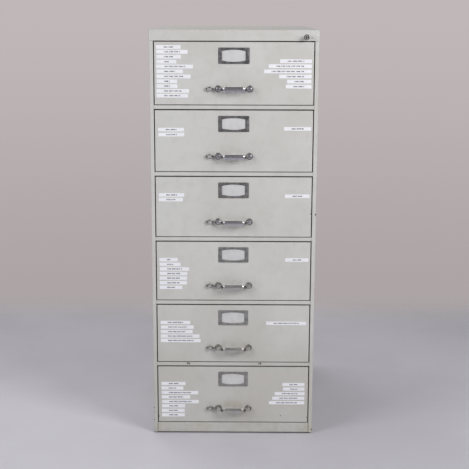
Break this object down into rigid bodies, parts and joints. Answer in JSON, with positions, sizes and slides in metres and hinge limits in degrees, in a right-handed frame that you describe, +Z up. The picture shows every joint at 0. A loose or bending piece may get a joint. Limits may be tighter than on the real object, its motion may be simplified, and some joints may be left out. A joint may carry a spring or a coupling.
{
  "type": "card index cabinet",
  "caption": "Tall painted steel card index cabinet: inset double-row card drawers on telescopic slides, each with a bow pull, thumb latch and label frame, under one push lock.",
  "frame": {"origin": "on the floor, in the middle of the footprint with the pulls included", "axes": "+Z up, drawers open towards -Y, +X to the right of someone facing the drawers"},
  "size_m": [0.466, 0.649, 1.168],
  "materials": {
    "case_paint": "semi-gloss enamel, pale warm grey, worn and lightly scuffed",
    "front_paint": "semi-gloss enamel, pale warm grey, scuffed around the pulls",
    "inner_paint": "flat grey primer",
    "tray_paint": "semi-matt grey enamel",
    "slide_steel": "rolled zinc-plated steel",
    "lock_metal": "worn nickel plate",
    "handle_metal": "tarnished nickel plate",
    "label_metal": "darkened plated steel",
    "follower_steel": "bare sheet steel"
  },
  "bodies": {
    "cabinet": {"left_side_panel": "case_paint", "right_side_panel": "case_paint", "back_panel": "case_paint", "top_cap": "case_paint", "base_pan": "case_paint", "front_rails": "case_paint", "uprights": "inner_paint", "cabinet_slides": "slide_steel", "lock_body": "lock_metal"},
    "lock_plunger": {"lock_plunger": "lock_metal"},
    "lock_plug": {"lock_plug": "lock_metal"},
    "lock_bar": {"lock_bar": "inner_paint"},
    "drawer_1": {"drawer_1_front": "front_paint", "drawer_1_tray": "tray_paint", "drawer_1_handle": "handle_metal", "drawer_1_label_frame": "label_metal"},
    "drawer_1_mid_slides": {"drawer_1_mid_slides": "slide_steel"},
    "drawer_1_latch": {"drawer_1_latch": "handle_metal"},
    "drawer_1_left_follower": {"drawer_1_left_follower": "follower_steel"},
    "drawer_1_right_follower": {"drawer_1_right_follower": "follower_steel"},
    "drawer_2": {"drawer_2_front": "front_paint", "drawer_2_tray": "tray_paint", "drawer_2_handle": "handle_metal", "drawer_2_label_frame": "label_metal"},
    "drawer_2_mid_slides": {"drawer_2_mid_slides": "slide_steel"},
    "drawer_2_latch": {"drawer_2_latch": "handle_metal"},
    "drawer_2_left_follower": {"drawer_2_left_follower": "follower_steel"},
    "drawer_2_right_follower": {"drawer_2_right_follower": "follower_steel"},
    "drawer_3": {"drawer_3_front": "front_paint", "drawer_3_tray": "tray_paint", "drawer_3_handle": "handle_metal", "drawer_3_label_frame": "label_metal"},
    "drawer_3_mid_slides": {"drawer_3_mid_slides": "slide_steel"},
    "drawer_3_latch": {"drawer_3_latch": "handle_metal"},
    "drawer_3_left_follower": {"drawer_3_left_follower": "follower_steel"},
    "drawer_3_right_follower": {"drawer_3_right_follower": "follower_steel"},
    "drawer_4": {"drawer_4_front": "front_paint", "drawer_4_tray": "tray_paint", "drawer_4_handle": "handle_metal", "drawer_4_label_frame": "label_metal"},
    "drawer_4_mid_slides": {"drawer_4_mid_slides": "slide_steel"},
    "drawer_4_latch": {"drawer_4_latch": "handle_metal"},
    "drawer_4_left_follower": {"drawer_4_left_follower": "follower_steel"},
    "drawer_4_right_follower": {"drawer_4_right_follower": "follower_steel"},
    "drawer_5": {"drawer_5_front": "front_paint", "drawer_5_tray": "tray_paint", "drawer_5_handle": "handle_metal", "drawer_5_label_frame": "label_metal"},
    "drawer_5_mid_slides": {"drawer_5_mid_slides": "slide_steel"},
    "drawer_5_latch": {"drawer_5_latch": "handle_metal"},
    "drawer_5_left_follower": {"drawer_5_left_follower": "follower_steel"},
    "drawer_5_right_follower": {"drawer_5_right_follower": "follower_steel"},
    "drawer_6": {"drawer_6_front": "front_paint", "drawer_6_tray": "tray_paint", "drawer_6_handle": "handle_metal", "drawer_6_label_frame": "label_metal"},
    "drawer_6_mid_slides": {"drawer_6_mid_slides": "slide_steel"},
    "drawer_6_latch": {"drawer_6_latch": "handle_metal"},
    "drawer_6_left_follower": {"drawer_6_left_follower": "follower_steel"},
    "drawer_6_right_follower": {"drawer_6_right_follower": "follower_steel"}
  },
  "joints": [
    {"name": "lock_plunger_push", "type": "slide", "parent": "cabinet", "child": "lock_plunger", "axis": [0, 1, 0], "range_m": [0, 0.009], "stiffness_N_per_m": 300, "springref_m": -0.005},
    {"name": "lock_plug_turn", "type": "hinge", "parent": "lock_plunger", "child": "lock_plug", "pos_m": [0.198, -0.3175, 1.1485], "axis": [0, 1, 0], "range_deg": [0, 90]},
    {"name": "lock_bar_lift", "type": "slide", "parent": "cabinet", "child": "lock_bar", "axis": [0, 0, 1], "range_m": [0, 0.009]},
    {"name": "drawer_1_slide", "type": "slide", "parent": "cabinet", "child": "drawer_1", "axis": [0, -1, 0], "range_m": [0, 0.5]},
    {"name": "drawer_1_mid_slide", "type": "slide", "parent": "cabinet", "child": "drawer_1_mid_slides", "axis": [0, -1, 0], "range_m": [0, 0.25]},
    {"name": "drawer_1_latch_press", "type": "slide", "parent": "drawer_1", "child": "drawer_1_latch", "axis": [1, 0, 0], "range_m": [0, 0.005], "stiffness_N_per_m": 400, "springref_m": -0.005},
    {"name": "drawer_1_left_follower_slide", "type": "slide", "parent": "drawer_1", "child": "drawer_1_left_follower", "axis": [0, 1, 0], "range_m": [-0.28, 0.17]},
    {"name": "drawer_1_right_follower_slide", "type": "slide", "parent": "drawer_1", "child": "drawer_1_right_follower", "axis": [0, 1, 0], "range_m": [-0.28, 0.17]},
    {"name": "drawer_2_slide", "type": "slide", "parent": "cabinet", "child": "drawer_2", "axis": [0, -1, 0], "range_m": [0, 0.5]},
    {"name": "drawer_2_mid_slide", "type": "slide", "parent": "cabinet", "child": "drawer_2_mid_slides", "axis": [0, -1, 0], "range_m": [0, 0.25]},
    {"name": "drawer_2_latch_press", "type": "slide", "parent": "drawer_2", "child": "drawer_2_latch", "axis": [1, 0, 0], "range_m": [0, 0.005], "stiffness_N_per_m": 400, "springref_m": -0.005},
    {"name": "drawer_2_left_follower_slide", "type": "slide", "parent": "drawer_2", "child": "drawer_2_left_follower", "axis": [0, 1, 0], "range_m": [-0.28, 0.17]},
    {"name": "drawer_2_right_follower_slide", "type": "slide", "parent": "drawer_2", "child": "drawer_2_right_follower", "axis": [0, 1, 0], "range_m": [-0.28, 0.17]},
    {"name": "drawer_3_slide", "type": "slide", "parent": "cabinet", "child": "drawer_3", "axis": [0, -1, 0], "range_m": [0, 0.5]},
    {"name": "drawer_3_mid_slide", "type": "slide", "parent": "cabinet", "child": "drawer_3_mid_slides", "axis": [0, -1, 0], "range_m": [0, 0.25]},
    {"name": "drawer_3_latch_press", "type": "slide", "parent": "drawer_3", "child": "drawer_3_latch", "axis": [1, 0, 0], "range_m": [0, 0.005], "stiffness_N_per_m": 400, "springref_m": -0.005},
    {"name": "drawer_3_left_follower_slide", "type": "slide", "parent": "drawer_3", "child": "drawer_3_left_follower", "axis": [0, 1, 0], "range_m": [-0.28, 0.17]},
    {"name": "drawer_3_right_follower_slide", "type": "slide", "parent": "drawer_3", "child": "drawer_3_right_follower", "axis": [0, 1, 0], "range_m": [-0.28, 0.17]},
    {"name": "drawer_4_slide", "type": "slide", "parent": "cabinet", "child": "drawer_4", "axis": [0, -1, 0], "range_m": [0, 0.5]},
    {"name": "drawer_4_mid_slide", "type": "slide", "parent": "cabinet", "child": "drawer_4_mid_slides", "axis": [0, -1, 0], "range_m": [0, 0.25]},
    {"name": "drawer_4_latch_press", "type": "slide", "parent": "drawer_4", "child": "drawer_4_latch", "axis": [1, 0, 0], "range_m": [0, 0.005], "stiffness_N_per_m": 400, "springref_m": -0.005},
    {"name": "drawer_4_left_follower_slide", "type": "slide", "parent": "drawer_4", "child": "drawer_4_left_follower", "axis": [0, 1, 0], "range_m": [-0.28, 0.17]},
    {"name": "drawer_4_right_follower_slide", "type": "slide", "parent": "drawer_4", "child": "drawer_4_right_follower", "axis": [0, 1, 0], "range_m": [-0.28, 0.17]},
    {"name": "drawer_5_slide", "type": "slide", "parent": "cabinet", "child": "drawer_5", "axis": [0, -1, 0], "range_m": [0, 0.5]},
    {"name": "drawer_5_mid_slide", "type": "slide", "parent": "cabinet", "child": "drawer_5_mid_slides", "axis": [0, -1, 0], "range_m": [0, 0.25]},
    {"name": "drawer_5_latch_press", "type": "slide", "parent": "drawer_5", "child": "drawer_5_latch", "axis": [1, 0, 0], "range_m": [0, 0.005], "stiffness_N_per_m": 400, "springref_m": -0.005},
    {"name": "drawer_5_left_follower_slide", "type": "slide", "parent": "drawer_5", "child": "drawer_5_left_follower", "axis": [0, 1, 0], "range_m": [-0.28, 0.17]},
    {"name": "drawer_5_right_follower_slide", "type": "slide", "parent": "drawer_5", "child": "drawer_5_right_follower", "axis": [0, 1, 0], "range_m": [-0.28, 0.17]},
    {"name": "drawer_6_slide", "type": "slide", "parent": "cabinet", "child": "drawer_6", "axis": [0, -1, 0], "range_m": [0, 0.5]},
    {"name": "drawer_6_mid_slide", "type": "slide", "parent": "cabinet", "child": "drawer_6_mid_slides", "axis": [0, -1, 0], "range_m": [0, 0.25]},
    {"name": "drawer_6_latch_press", "type": "slide", "parent": "drawer_6", "child": "drawer_6_latch", "axis": [1, 0, 0], "range_m": [0, 0.005], "stiffness_N_per_m": 400, "springref_m": -0.005},
    {"name": "drawer_6_left_follower_slide", "type": "slide", "parent": "drawer_6", "child": "drawer_6_left_follower", "axis": [0, 1, 0], "range_m": [-0.28, 0.17]},
    {"name": "drawer_6_right_follower_slide", "type": "slide", "parent": "drawer_6", "child": "drawer_6_right_follower", "axis": [0, 1, 0], "range_m": [-0.28, 0.17]}
  ],
  "couplings": [
    {"joint": "lock_bar_lift", "follows": "lock_plunger_push", "ratio": 1},
    {"joint": "drawer_1_mid_slide", "follows": "drawer_1_slide", "ratio": 0.5},
    {"joint": "drawer_2_mid_slide", "follows": "drawer_2_slide", "ratio": 0.5},
    {"joint": "drawer_3_mid_slide", "follows": "drawer_3_slide", "ratio": 0.5},
    {"joint": "drawer_4_mid_slide", "follows": "drawer_4_slide", "ratio": 0.5},
    {"joint": "drawer_5_mid_slide", "follows": "drawer_5_slide", "ratio": 0.5},
    {"joint": "drawer_6_mid_slide", "follows": "drawer_6_slide", "ratio": 0.5}
  ]
}
